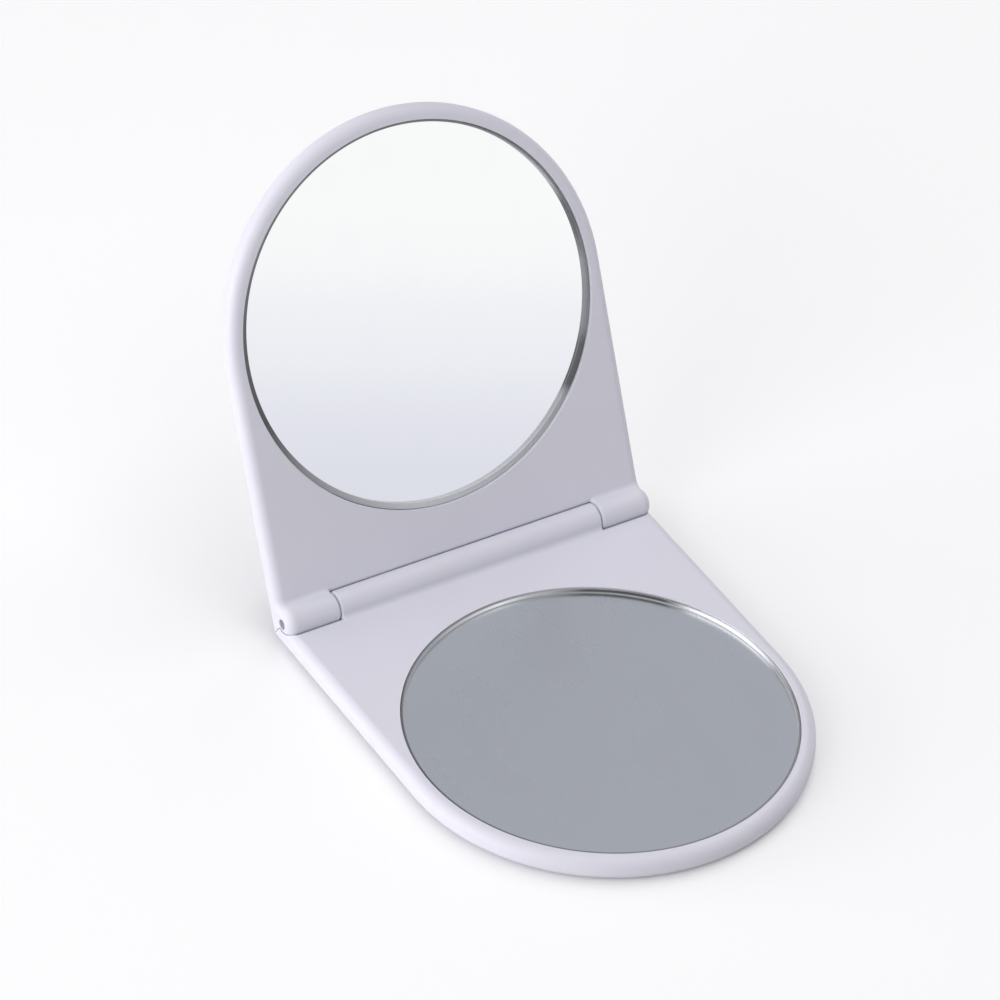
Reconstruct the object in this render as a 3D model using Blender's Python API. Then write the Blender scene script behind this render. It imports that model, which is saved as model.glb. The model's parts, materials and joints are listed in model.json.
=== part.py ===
"""Compact mirror, standing open on its base.

Two white plastic shells with a round end are joined along their straight edge by
a pin hinge. Each shell holds a round glass mirror, which is stuck with an
adhesive pad into a round pocket. The base shell carries the long middle knuckle
of the hinge and the cover shell carries the two end knuckles. A short steel pin
from each side runs through an end knuckle into the middle one. Behind the hinge
both shells end in a slanted stop face, and the cover leans back until the two
stop faces meet.

Both shells are modelled in one layout: the hinge axis is the X axis, the shell
runs from it to -Y, and its inner face looks up. The base is then set down on the
floor, and the cover is turned round and tilted open about the hinge axis. The
world's origin is on the floor, under the middle of the base mirror.
All lengths are in metres.
"""
import math

import bmesh
import bpy
from mathutils import Matrix

# Outer shape of each shell
SHELL_WIDTH = 0.0620
RING_WIDTH = 0.0022
HINGE_LAND = 0.0092
FLOOR_THICKNESS = 0.0009
OUTER_EDGE_RADIUS = 0.0014
INNER_EDGE_RADIUS = 0.0015
REAR_CORNER_RADIUS = 0.0004

# Mirror, pad and the pocket that holds them
GLASS_THICKNESS = 0.0010
COVER_GLASS_RECESS = 0.0005
BASE_GLASS_RECESS = 0.00015
GLASS_EDGE_GAP = 0.0003
GLASS_CHAMFER = 0.00015
COVER_PAD_THICKNESS = 0.0004
PAD_INSET = 0.0020
SEAT_GAP = 0.0003

# Hinge
OPEN_ANGLE = math.radians(115.0)
FACE_DROP = 0.0006
SHELF_THICKNESS = 0.00145
KNUCKLE_GAP = 0.0003
KNUCKLE_FILLET = 0.0009
END_KNUCKLE_LENGTH = 0.0087
STOP_GAP = 0.0003
PIN_RADIUS = 0.0005
PIN_GAP = 0.0003
PIN_RECESS = 0.0008
PIN_ENGAGEMENT = 0.0068
PIN_CHAMFER = 0.00015

# How far a cutting shape runs past the face that it opens
CUT_OVERRUN = 0.0020

# How finely the round shapes are divided
END_ARC_STEPS = 72
CIRCLE_STEPS = 96
EDGE_STEPS = 4
KNUCKLE_STEPS = 28
FILLET_STEPS = 5
CORNER_STEPS = 5
PIN_STEPS = 20
SHARP_ANGLE = math.radians(32.0)

# Sizes that follow from the ones above
HALF_WIDTH = SHELL_WIDTH / 2
POCKET_RADIUS = HALF_WIDTH - RING_WIDTH
MIRROR_REACH = HINGE_LAND + POCKET_RADIUS
POCKET_DEPTH = COVER_GLASS_RECESS + GLASS_THICKNESS + SEAT_GAP + COVER_PAD_THICKNESS + SEAT_GAP
SHELL_THICKNESS = POCKET_DEPTH + FLOOR_THICKNESS
GLASS_RADIUS = POCKET_RADIUS - GLASS_EDGE_GAP
PAD_RADIUS = GLASS_RADIUS - PAD_INSET
FACE_LEVEL = -FACE_DROP
UNDERSIDE_LEVEL = FACE_LEVEL - SHELL_THICKNESS
POCKET_FLOOR_LEVEL = FACE_LEVEL - POCKET_DEPTH
AXIS_HEIGHT = -UNDERSIDE_LEVEL
RELIEF_RADIUS = AXIS_HEIGHT - SHELF_THICKNESS
KNUCKLE_RADIUS = RELIEF_RADIUS - KNUCKLE_GAP
KNUCKLE_ROOT_LEVEL = (FACE_LEVEL - INNER_EDGE_RADIUS + UNDERSIDE_LEVEL + OUTER_EDGE_RADIUS) / 2
CENTRE_KNUCKLE_HALF = HALF_WIDTH - END_KNUCKLE_LENGTH - KNUCKLE_GAP
PIN_START = HALF_WIDTH - PIN_RECESS
PIN_END = CENTRE_KNUCKLE_HALF - PIN_ENGAGEMENT


def clear_scene():
    """Take away whatever the scene starts with."""
    for item in list(bpy.data.objects):
        bpy.data.objects.remove(item, do_unlink=True)


def plain_material(name, colour, roughness, metallic):
    """One Principled material with a plain colour."""
    material = bpy.data.materials.new(name)
    material.use_nodes = True
    shader = material.node_tree.nodes["Principled BSDF"]
    shader.inputs["Base Color"].default_value = (*colour, 1.0)
    shader.inputs["Roughness"].default_value = roughness
    shader.inputs["Metallic"].default_value = metallic
    return material


def white_plastic():
    """Cool white satin plastic of both shells."""
    return plain_material("white_plastic", (0.80, 0.80, 0.83), 0.35, 0.0)


def silvered_glass():
    """Silvered mirror glass."""
    return plain_material("silvered_glass", (0.90, 0.91, 0.92), 0.03, 1.0)


def adhesive_foam():
    """Thin white double-sided foam."""
    return plain_material("adhesive_foam", (0.72, 0.72, 0.70), 0.80, 0.0)


def pin_steel():
    """Plain drawn steel wire."""
    return plain_material("pin_steel", (0.55, 0.55, 0.56), 0.30, 1.0)


def make_object(name, shape):
    """Turn a bmesh into an object with outward faces."""
    bmesh.ops.recalc_face_normals(shape, faces=shape.faces)
    mesh = bpy.data.meshes.new(name)
    shape.to_mesh(mesh)
    shape.free()
    item = bpy.data.objects.new(name, mesh)
    bpy.context.scene.collection.objects.link(item)
    return item


def stack_of_rings(name, rings):
    """A closed body through equal rings of points, with a flat cap at each end."""
    shape = bmesh.new()
    loops = [[shape.verts.new(point) for point in ring] for ring in rings]
    for lower, upper in zip(loops, loops[1:]):
        for index in range(len(lower)):
            after = (index + 1) % len(lower)
            shape.faces.new((lower[index], lower[after], upper[after], upper[index]))
    shape.faces.new(loops[0][::-1])
    shape.faces.new(loops[-1])
    return make_object(name, shape)


def carried_along_x(name, stations, outline):
    """A body along X: at each (x, inset) station it has the side outline for that inset."""
    rings = [[(x, y, z) for y, z in outline(inset)] for x, inset in stations]
    return stack_of_rings(name, rings)


def turned_about_z(name, profile, steps):
    """A body turned about Z from (radius, z) points."""
    angles = [2 * math.pi * step / steps for step in range(steps)]
    rings = [
        [(radius * math.cos(angle), radius * math.sin(angle), z) for angle in angles]
        for radius, z in profile
    ]
    return stack_of_rings(name, rings)


def turned_about_x(name, profile, steps):
    """A body turned about X from (x, radius) points."""
    angles = [2 * math.pi * step / steps for step in range(steps)]
    rings = [
        [(x, radius * math.cos(angle), radius * math.sin(angle)) for angle in angles]
        for x, radius in profile
    ]
    return stack_of_rings(name, rings)


def arc_points(centre, radius, start_angle, end_angle, steps):
    """Points of an arc in a plane, both ends included."""
    sweep = end_angle - start_angle
    angles = [start_angle + sweep * step / steps for step in range(steps + 1)]
    return [
        (centre[0] + radius * math.cos(angle), centre[1] + radius * math.sin(angle))
        for angle in angles
    ]


def combine(body, operations):
    """Carry out (operation, tool) pairs on a body and leave one plain mesh."""
    for operation, tool in operations:
        step = body.modifiers.new(tool.name, "BOOLEAN")
        step.operation = operation
        step.solver = "EXACT"
        step.object = tool
    depsgraph = bpy.context.evaluated_depsgraph_get()
    result = bpy.data.meshes.new_from_object(body.evaluated_get(depsgraph))
    result.name = body.name
    body.modifiers.clear()
    body.data = result
    for _, tool in operations:
        bpy.data.objects.remove(tool, do_unlink=True)


def finish(item, material):
    """Give a piece its material and smooth shading with crisp corners."""
    item.data.materials.clear()
    item.data.materials.append(material)
    item.data.shade_smooth()
    item.data.set_sharp_from_angle(angle=SHARP_ANGLE)


def plan_outline(inset):
    """Plan of a shell drawn in by an inset: straight sides and a round end."""
    radius = HALF_WIDTH - inset
    rear = AXIS_HEIGHT / math.tan(OPEN_ANGLE / 2) + CUT_OVERRUN
    end = arc_points((0.0, -MIRROR_REACH), radius, 0.0, -math.pi, END_ARC_STEPS)
    return [(radius, rear), *end, (-radius, rear)]


def edge_levels():
    """(inset, z) pairs from the inner face over both rounded edges to the underside."""
    inner = arc_points(
        (INNER_EDGE_RADIUS, FACE_LEVEL - INNER_EDGE_RADIUS),
        INNER_EDGE_RADIUS, math.pi / 2, math.pi, EDGE_STEPS
    )
    outer = arc_points(
        (OUTER_EDGE_RADIUS, UNDERSIDE_LEVEL + OUTER_EDGE_RADIUS),
        OUTER_EDGE_RADIUS, math.pi, math.pi * 3 / 2, EDGE_STEPS
    )
    return inner + outer


def rounded_plate(name):
    """The whole shell as a solid plate with rounded edges, left long at the hinge."""
    rings = [[(x, y, z) for x, y in plan_outline(inset)] for inset, z in edge_levels()]
    return stack_of_rings(name, rings)


def side_outline(_):
    """The shell seen from its side, with the slanted stop face behind the hinge.

    The stop face lies on the plane that halves the open angle, half a stop gap
    in front of it, and a small radius leads from it to the underside.
    """
    slant = OPEN_ANGLE / 2
    behind = (math.sin(slant), math.cos(slant))
    offset = STOP_GAP / 2
    far_end = -(MIRROR_REACH + HALF_WIDTH + CUT_OVERRUN)
    face_rear = -(offset + FACE_LEVEL * behind[1]) / behind[0]
    centre_z = UNDERSIDE_LEVEL + REAR_CORNER_RADIUS
    centre_y = -(offset + REAR_CORNER_RADIUS + centre_z * behind[1]) / behind[0]
    corner = arc_points(
        (centre_y, centre_z), REAR_CORNER_RADIUS, math.pi / 2 - slant, -math.pi / 2, CORNER_STEPS
    )
    return [
        (far_end, FACE_LEVEL),
        (face_rear, FACE_LEVEL),
        *corner,
        (far_end, UNDERSIDE_LEVEL),
    ]


def knuckle_outline(inset):
    """A knuckle seen from its side, drawn in by an inset, with a root inside the plate.

    A hollow fillet leads from the inner face up to the round barrel.
    """
    radius = KNUCKLE_RADIUS - inset
    fillet_radius = KNUCKLE_FILLET + inset
    centre_z = FACE_LEVEL + KNUCKLE_FILLET
    centre_y = -math.sqrt((radius + fillet_radius) ** 2 - centre_z ** 2)
    touch_angle = math.atan2(centre_z, -centre_y)
    fillet = arc_points(
        (centre_y, centre_z), fillet_radius, -math.pi / 2, -touch_angle, FILLET_STEPS
    )
    barrel = arc_points(
        (0.0, 0.0), radius, math.pi - touch_angle, -math.pi / 2, KNUCKLE_STEPS
    )
    return [*fillet, *barrel[1:], (0.0, KNUCKLE_ROOT_LEVEL), (centre_y, KNUCKLE_ROOT_LEVEL)]


def centre_knuckle(name):
    """The long knuckle of the base, with flat ends."""
    stations = [(-CENTRE_KNUCKLE_HALF, 0.0), (CENTRE_KNUCKLE_HALF, 0.0)]
    return carried_along_x(name, stations, knuckle_outline)


def end_knuckle(name, side):
    """A short knuckle of the cover. Its outer end is as round as the shell's inner edge."""
    inner_end = CENTRE_KNUCKLE_HALF + KNUCKLE_GAP
    outer_end = arc_points(
        (HALF_WIDTH - INNER_EDGE_RADIUS, INNER_EDGE_RADIUS),
        INNER_EDGE_RADIUS, -math.pi / 2, 0.0, EDGE_STEPS
    )
    stations = [(side * x, inset) for x, inset in [(inner_end, 0.0), *outer_end]]
    return carried_along_x(name, stations, knuckle_outline)


def centre_relief(name):
    """Round trough in the cover that clears the centre knuckle."""
    end = CENTRE_KNUCKLE_HALF + KNUCKLE_GAP
    return turned_about_x(name, [(-end, RELIEF_RADIUS), (end, RELIEF_RADIUS)], CIRCLE_STEPS)


def end_relief(name, side):
    """Round trough in the base that clears an end knuckle and follows its round end."""
    arc_radius = INNER_EDGE_RADIUS + KNUCKLE_GAP
    side_angle = math.acos(INNER_EDGE_RADIUS / arc_radius)
    outer_end = arc_points(
        (HALF_WIDTH - INNER_EDGE_RADIUS, KNUCKLE_RADIUS - INNER_EDGE_RADIUS),
        arc_radius, math.pi / 2, side_angle, EDGE_STEPS
    )
    profile = [
        (CENTRE_KNUCKLE_HALF, RELIEF_RADIUS),
        *outer_end,
        (HALF_WIDTH + CUT_OVERRUN, outer_end[-1][1]),
    ]
    return turned_about_x(name, [(side * x, radius) for x, radius in profile], CIRCLE_STEPS)


def pocket(name):
    """Round pocket for the pad and the mirror."""
    top = FACE_LEVEL + CUT_OVERRUN
    profile = [(POCKET_RADIUS, POCKET_FLOOR_LEVEL), (POCKET_RADIUS, top)]
    item = turned_about_z(name, profile, CIRCLE_STEPS)
    item.data.transform(Matrix.Translation((0.0, -MIRROR_REACH, 0.0)))
    return item


def pin_bore(name, side):
    """Bore for one pin, from the side of the shell into the middle knuckle."""
    radius = PIN_RADIUS + PIN_GAP
    start = side * (PIN_END - PIN_GAP)
    end = side * (HALF_WIDTH + CUT_OVERRUN)
    return turned_about_x(name, [(start, radius), (end, radius)], PIN_STEPS)


def shell(name, reliefs, knuckles):
    """A shell with a trough for each knuckle of the other shell and with its own knuckles."""
    body = rounded_plate(name)
    cut_end = HALF_WIDTH + CUT_OVERRUN
    side_cut = carried_along_x("side_cut", [(-cut_end, 0.0), (cut_end, 0.0)], side_outline)
    operations = [("INTERSECT", side_cut)]
    operations.extend(("DIFFERENCE", item) for item in reliefs)
    operations.extend(("UNION", item) for item in knuckles)
    operations.append(("DIFFERENCE", pocket("pocket")))
    for side in (-1, 1):
        operations.append(("DIFFERENCE", pin_bore("pin_bore", side)))
    combine(body, operations)
    finish(body, MATERIALS["plastic"])
    return body


def base_shell():
    """Lower shell with the long middle knuckle."""
    reliefs = [end_relief("end_relief", side) for side in (-1, 1)]
    return shell("base_shell", reliefs, [centre_knuckle("centre_knuckle")])


def cover_shell():
    """Upper shell with the two end knuckles."""
    knuckles = [end_knuckle("end_knuckle", side) for side in (-1, 1)]
    return shell("cover_shell", [centre_relief("centre_relief")], knuckles)


def mirror_glass(name, recess):
    """Round glass with a ground chamfer on both edges, seated under the inner face."""
    top = FACE_LEVEL - recess
    bottom = top - GLASS_THICKNESS
    profile = [
        (GLASS_RADIUS - GLASS_CHAMFER, bottom),
        (GLASS_RADIUS, bottom + GLASS_CHAMFER),
        (GLASS_RADIUS, top - GLASS_CHAMFER),
        (GLASS_RADIUS - GLASS_CHAMFER, top),
    ]
    item = turned_about_z(name, profile, CIRCLE_STEPS)
    item.data.transform(Matrix.Translation((0.0, -MIRROR_REACH, 0.0)))
    finish(item, MATERIALS["glass"])
    return item


def mirror_pad(name, recess):
    """Adhesive disc that fills the height between the pocket floor and the glass."""
    bottom = POCKET_FLOOR_LEVEL + SEAT_GAP
    top = FACE_LEVEL - recess - GLASS_THICKNESS - SEAT_GAP
    item = turned_about_z(name, [(PAD_RADIUS, bottom), (PAD_RADIUS, top)], CIRCLE_STEPS)
    item.data.transform(Matrix.Translation((0.0, -MIRROR_REACH, 0.0)))
    finish(item, MATERIALS["foam"])
    return item


def hinge_pin(name, side):
    """Short steel pin on the hinge axis, a little below the side of the shell."""
    profile = [
        (side * PIN_END, PIN_RADIUS - PIN_CHAMFER),
        (side * (PIN_END + PIN_CHAMFER), PIN_RADIUS),
        (side * (PIN_START - PIN_CHAMFER), PIN_RADIUS),
        (side * PIN_START, PIN_RADIUS - PIN_CHAMFER),
    ]
    item = turned_about_x(name, profile, PIN_STEPS)
    finish(item, MATERIALS["steel"])
    return item


def place_empty(name, location, rotation):
    """An empty that carries the pieces of one half."""
    empty = bpy.data.objects.new(name, None)
    empty.location = location
    empty.rotation_euler = rotation
    bpy.context.scene.collection.objects.link(empty)
    return empty


def place_base(axis_point):
    """Stand the base half on the floor, with its end towards -Y."""
    carrier = place_empty("base_half", axis_point, (0.0, 0.0, 0.0))
    glass = mirror_glass("base_mirror", BASE_GLASS_RECESS)
    pad = mirror_pad("base_mirror_pad", BASE_GLASS_RECESS)
    for item in (base_shell(), glass, pad):
        item.parent = carrier


def place_cover(axis_point):
    """Open the cover half about the hinge axis. Its pieces are turned half round first."""
    carrier = place_empty("cover_half", axis_point, (math.pi - OPEN_ANGLE, 0.0, 0.0))
    glass = mirror_glass("cover_mirror", COVER_GLASS_RECESS)
    pad = mirror_pad("cover_mirror_pad", COVER_GLASS_RECESS)
    for item in (cover_shell(), glass, pad):
        item.parent = carrier
        item.rotation_euler = (0.0, 0.0, math.pi)
    for name, side in (("left_hinge_pin", -1), ("right_hinge_pin", 1)):
        hinge_pin(name, side).parent = carrier


clear_scene()
MATERIALS = {
    "plastic": white_plastic(),
    "glass": silvered_glass(),
    "foam": adhesive_foam(),
    "steel": pin_steel(),
}
HINGE_POINT = (0.0, MIRROR_REACH, AXIS_HEIGHT)
place_base(HINGE_POINT)
place_cover(HINGE_POINT)
bpy.context.view_layer.update()
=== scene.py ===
# %% [markdown]
# A folding pocket mirror, standing open
#
# The packed model holds two white plastic shells, two round mirrors, the foam that
# sticks them down and two short hinge pins. Everything is in metres and already in
# its place. This lesson keeps those places. It gives each piece a finer surface,
# worked out with numpy, and a finish made of shader nodes. Then it lights the
# mirror like a product photograph.

# %% Load the packed model
import json
import math

import bmesh
import bpy
import numpy as np
from mathutils import Matrix, Vector


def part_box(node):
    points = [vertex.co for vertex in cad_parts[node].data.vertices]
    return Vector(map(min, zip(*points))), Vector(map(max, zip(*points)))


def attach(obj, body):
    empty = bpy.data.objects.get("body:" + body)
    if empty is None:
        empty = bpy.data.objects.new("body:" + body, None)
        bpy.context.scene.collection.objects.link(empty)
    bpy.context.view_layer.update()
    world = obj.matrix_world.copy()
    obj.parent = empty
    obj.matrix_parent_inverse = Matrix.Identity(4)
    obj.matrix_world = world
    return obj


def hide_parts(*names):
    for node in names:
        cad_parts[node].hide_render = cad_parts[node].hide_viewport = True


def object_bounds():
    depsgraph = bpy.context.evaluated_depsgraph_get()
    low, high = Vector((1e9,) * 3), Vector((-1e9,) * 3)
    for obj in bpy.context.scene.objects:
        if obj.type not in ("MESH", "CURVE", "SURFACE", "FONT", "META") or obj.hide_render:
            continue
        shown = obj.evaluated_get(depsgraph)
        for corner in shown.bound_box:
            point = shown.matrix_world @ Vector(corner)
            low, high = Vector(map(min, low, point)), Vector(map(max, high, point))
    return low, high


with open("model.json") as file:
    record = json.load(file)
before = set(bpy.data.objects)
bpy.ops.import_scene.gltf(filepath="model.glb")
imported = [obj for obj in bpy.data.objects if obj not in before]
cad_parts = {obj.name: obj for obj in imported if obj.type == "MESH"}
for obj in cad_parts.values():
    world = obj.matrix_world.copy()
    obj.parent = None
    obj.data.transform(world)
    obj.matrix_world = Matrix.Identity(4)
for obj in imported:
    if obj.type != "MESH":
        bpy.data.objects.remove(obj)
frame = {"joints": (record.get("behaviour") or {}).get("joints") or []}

cad_low, cad_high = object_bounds()


def in_mm(low, high):
    """The three sides of a box, in millimetres."""
    return [round(1000 * (b - a), 2) for a, b in zip(low, high)]


print("model box, mm:", in_mm(cad_low, cad_high))

# %% [markdown]
# Both shells come from one kind of mould, so both are drawn in one layout: the
# hinge axis is the X axis, the shell runs from it to -Y, and its inner face looks
# up. Whatever size the packed model shows is measured on it here, so the new
# surfaces fit the solids whatever they measure.

# %% Sizes measured on the packed model
hinge = Vector(frame["joints"][0]["pos_m"])
base_low, base_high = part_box("base_shell")
glass_low, glass_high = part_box("base_mirror")
pad_low, pad_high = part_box("base_mirror_pad")
pin_low, pin_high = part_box("left_hinge_pin")

HALF_WIDTH = base_high.x
REACH = hinge.y
UNDERSIDE = base_low.z - hinge.z
GLASS_THICKNESS = glass_high.z - glass_low.z
PAD_BOTTOM = pad_low.z - hinge.z
PAD_RADIUS = pad_high.x
KNUCKLE_RADIUS = base_high.z - hinge.z
PIN_RADIUS = (pin_high.z - pin_low.z) / 2
PIN_START = -pin_low.x
PIN_END = -pin_high.x
print("half width, mm:", round(1000 * HALF_WIDTH, 2))
print("hinge axis to the middle of the mirror, mm:", round(1000 * REACH, 2))

# %% [markdown]
# A box doesn't show a rounding or the depth of a recess, so these sizes are named
# with the values of the construction, in metres.

# %% Sizes from the construction
OPEN_ANGLE = math.radians(115.0)
RECESS = {"base": 0.00015, "cover": 0.0005}
POCKET_GAP = 0.0003
SEAT_GAP = 0.0003
OUTER_EDGE_RADIUS = 0.0014
INNER_EDGE_RADIUS = 0.0015
REAR_CORNER_RADIUS = 0.0004
KNUCKLE_FILLET = 0.0009
END_KNUCKLE_LENGTH = 0.0087
PIN_GAP = 0.0003
OVERRUN = 0.0020

FACE = glass_high.z - hinge.z + RECESS["base"]
POCKET_FLOOR = PAD_BOTTOM - SEAT_GAP
POCKET_RADIUS = glass_high.x + POCKET_GAP
INNER_END = HALF_WIDTH - END_KNUCKLE_LENGTH
ROOT_LEVEL = (FACE - INNER_EDGE_RADIUS + UNDERSIDE + OUTER_EDGE_RADIUS) / 2
SLANT = OPEN_ANGLE / 2
print("shell thickness, mm:", round(1000 * (FACE - UNDERSIDE), 2))

# %% [markdown]
# The solids stand a little apart wherever the real pieces touch or run past each
# other, because a motion model needs that room. On the real mirror those seams are
# hairlines, so here they are much finer, and their edges are softened as moulded
# plastic is. All of it stays inside the model's box.

# %% Finer seams and soft edges
GLASS_FIT = 0.00008
STOP_GAP = 0.0001
KNUCKLE_GAP = 0.00008
LIP_RADIUS = 0.0007
SOFT_EDGE = 0.00045
CRISP_EDGE = 0.00005

GLASS_RADIUS = POCKET_RADIUS - GLASS_FIT
TROUGH_RADIUS = KNUCKLE_RADIUS + KNUCKLE_GAP
CENTRE_END = INNER_END - KNUCKLE_GAP
print("glass radius, mm:", round(1000 * GLASS_RADIUS, 2))
print("long knuckle, mm:", round(2000 * CENTRE_END, 2))

# %% [markdown]
# From the layout, one matrix sets the base down on the table and another turns the
# cover round and tilts it open. Every new piece is moved by its mesh data and not
# by its object, so its object stays at the origin, where the packed parts' objects
# are too. Patterns in object space then stay where they are painted.

# %% Where the two halves stand
PLACES = {
    "base": Matrix.Translation(hinge),
    "cover": Matrix.Translation(hinge)
    @ Matrix.Rotation(math.pi - OPEN_ANGLE, 4, "X")
    @ Matrix.Rotation(math.pi, 4, "Z"),
}
cover_top = PLACES["cover"] @ Vector((0.0, -REACH - HALF_WIDTH, 0.0))
print("round end of the cover, mm:", [round(1000 * value, 1) for value in cover_top])

# %% [markdown]
# Almost every shape of this mirror is a stack of rings: outlines above each other,
# circles about an axis, or one side view carried along the hinge. So one function
# joins equal rings to a closed body, and the others only work out the rings. An arc
# of points is the other thing that comes back everywhere, as each rounded edge is
# one.


# %% Bodies made of rings
def arc(centre, radius, start, end, steps):
    """Points of an arc: centre + radius * (cos t, sin t), t in even steps."""
    t = np.linspace(start, end, steps + 1)
    return np.column_stack((centre[0] + radius * np.cos(t), centre[1] + radius * np.sin(t)))


def lofted(name, rings):
    """A closed body through equal rings of points, given as (rings, points, 3).

    Point j of ring i joins point j + 1 of the same ring and the same two points of
    ring i + 1 in one quad. The first and last rings are closed with a flat cap.
    """
    levels, around = rings.shape[:2]
    index = np.arange(levels * around).reshape(levels, around)
    after = np.roll(index, -1, axis=1)
    quads = np.stack((index[:-1], after[:-1], after[1:], index[1:]), axis=-1).reshape(-1, 4)
    faces = quads.tolist() + [index[0, ::-1].tolist(), index[-1].tolist()]
    mesh = bpy.data.meshes.new(name)
    mesh.from_pydata(rings.reshape(-1, 3), [], faces)
    shape = bmesh.new()
    shape.from_mesh(mesh)
    bmesh.ops.recalc_face_normals(shape, faces=shape.faces)
    shape.to_mesh(mesh)
    shape.free()
    body = bpy.data.objects.new(name, mesh)
    bpy.context.scene.collection.objects.link(body)
    return body


def turned(name, profile, around=360, axis="Z"):
    """A body turned about Z or X.

    Each (radius, height) becomes a ring of angle t, at (radius * cos t, radius * sin t,
    height), or the same with height along X.
    """
    t = np.linspace(0, 2 * math.pi, around, endpoint=False)
    radius, height = np.asarray(profile).T
    ring = np.stack((np.outer(radius, np.cos(t)), np.outer(radius, np.sin(t))), axis=-1)
    level = np.broadcast_to(height[:, None, None], (*ring.shape[:2], 1))
    parts = (ring, level) if axis == "Z" else (level, ring)
    return lofted(name, np.concatenate(parts, axis=-1))


def along_x(name, stations, outline):
    """A body carried along X: at each (x, inset) the ring is outline(inset) at that x."""
    rings = [np.insert(outline(inset), 0, x, axis=1) for x, inset in stations]
    return lofted(name, np.stack(rings))


print("a quarter circle in two steps:", arc((0.0, 0.0), 1.0, 0.0, math.pi / 2, 2).round(2).tolist())

# %% [markdown]
# The shell starts as a solid plate. Seen from above it has straight sides and a
# round end. Its rim is a stack of outlines: each is drawn in by an inset that
# follows a quarter circle, once below the inner face and once above the underside.
# The side view then cuts the slanted stop face behind the hinge, where the open
# cover leans against the base.

# %% Plate and side view
END_STEPS = 220
EDGE_STEPS = 12
CORNER_STEPS = 8


def plan(inset):
    """Outline from above: a half circle of radius HALF_WIDTH - inset and two straight sides."""
    radius = HALF_WIDTH - inset
    rear = -UNDERSIDE / math.tan(SLANT) + OVERRUN
    end = arc((0.0, -REACH), radius, 0.0, -math.pi, END_STEPS)
    return np.vstack(((radius, rear), end, (-radius, rear)))


def plate():
    """Outlines stacked over both rounded edges: inset and height follow two quarter circles."""
    inner = arc((INNER_EDGE_RADIUS, FACE - INNER_EDGE_RADIUS), INNER_EDGE_RADIUS,
                math.pi / 2, math.pi, EDGE_STEPS)
    outer = arc((OUTER_EDGE_RADIUS, UNDERSIDE + OUTER_EDGE_RADIUS), OUTER_EDGE_RADIUS,
                math.pi, math.pi * 3 / 2, EDGE_STEPS)
    levels = np.vstack((inner, outer))
    rings = [np.insert(plan(inset), 2, height, axis=1) for inset, height in levels]
    return lofted("plate", np.stack(rings))


def side_outline(_):
    """Side view in (y, z): inner face, slanted stop face, rear corner arc and underside."""
    behind = (math.sin(SLANT), math.cos(SLANT))
    offset = STOP_GAP / 2
    far_end = -(REACH + HALF_WIDTH + OVERRUN)
    face_rear = -(offset + FACE * behind[1]) / behind[0]
    centre_z = UNDERSIDE + REAR_CORNER_RADIUS
    centre_y = -(offset + REAR_CORNER_RADIUS + centre_z * behind[1]) / behind[0]
    corner = arc((centre_y, centre_z), REAR_CORNER_RADIUS,
                 math.pi / 2 - SLANT, -math.pi / 2, CORNER_STEPS)
    return np.vstack(((far_end, FACE), (face_rear, FACE), corner, (far_end, UNDERSIDE)))


print("outlines in the plate:", 2 * (EDGE_STEPS + 1), "with", len(plan(0.0)), "points each")

# %% [markdown]
# A knuckle is a round barrel that runs into the inner face with a hollow fillet, so
# its side view is two arcs that touch. Where a knuckle ends, the same side view is
# drawn again with the barrel a little smaller and the fillet as much larger, which
# moves every point inwards alike. A tiny quarter circle of such steps softens the
# ends between two knuckles. A large one rounds the outer ends like the shell's rim.

# %% Knuckles
KNUCKLE_STEPS = 64
FILLET_STEPS = 14
SOFT_STEPS = 5


def knuckle_outline(inset):
    """Side view of a knuckle, every point moved inwards by the inset, with its root in the plate.

    The fillet's centre lies its radius above the face and both radii from the axis.
    """
    radius = KNUCKLE_RADIUS - inset
    fillet = KNUCKLE_FILLET + inset
    centre_z = FACE + KNUCKLE_FILLET
    centre_y = -math.sqrt((radius + fillet) ** 2 - centre_z ** 2)
    touch = math.atan2(centre_z, -centre_y)
    hollow = arc((centre_y, centre_z), fillet, -math.pi / 2, -touch, FILLET_STEPS)
    barrel = arc((0.0, 0.0), radius, math.pi - touch, -math.pi / 2, KNUCKLE_STEPS)
    return np.vstack((hollow, barrel[1:], (0.0, ROOT_LEVEL), (centre_y, ROOT_LEVEL)))


def rounded_end(x, radius, steps):
    """(x, inset) stations towards +X: the inset follows a quarter circle up to the end at x."""
    return arc((x - radius, radius), radius, -math.pi / 2, 0.0, steps)


def centre_knuckle():
    """The base's long knuckle: the stations of its soft end, and the same mirrored."""
    end = rounded_end(CENTRE_END, SOFT_EDGE, SOFT_STEPS)
    return along_x("centre_knuckle", np.vstack((end[::-1] * (-1, 1), end)), knuckle_outline)


def end_knuckle(side):
    """A short knuckle of the cover: a soft inner end and an outer end as round as the rim."""
    inner = rounded_end(-INNER_END, SOFT_EDGE, SOFT_STEPS)[::-1] * (-1, 1)
    outer = rounded_end(HALF_WIDTH, INNER_EDGE_RADIUS, EDGE_STEPS)
    return along_x("end_knuckle", np.vstack((inner, outer)) * (side, 1), knuckle_outline)


print("points in a knuckle's side view:", len(knuckle_outline(0.0)))

# %% [markdown]
# A trough is the hollow in which a knuckle of the other shell turns. Its side view is
# made the same way as the knuckle's, with a lip that rolls over into the inner face,
# so the seam in front of a knuckle is a soft valley and not a hard line.


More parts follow.
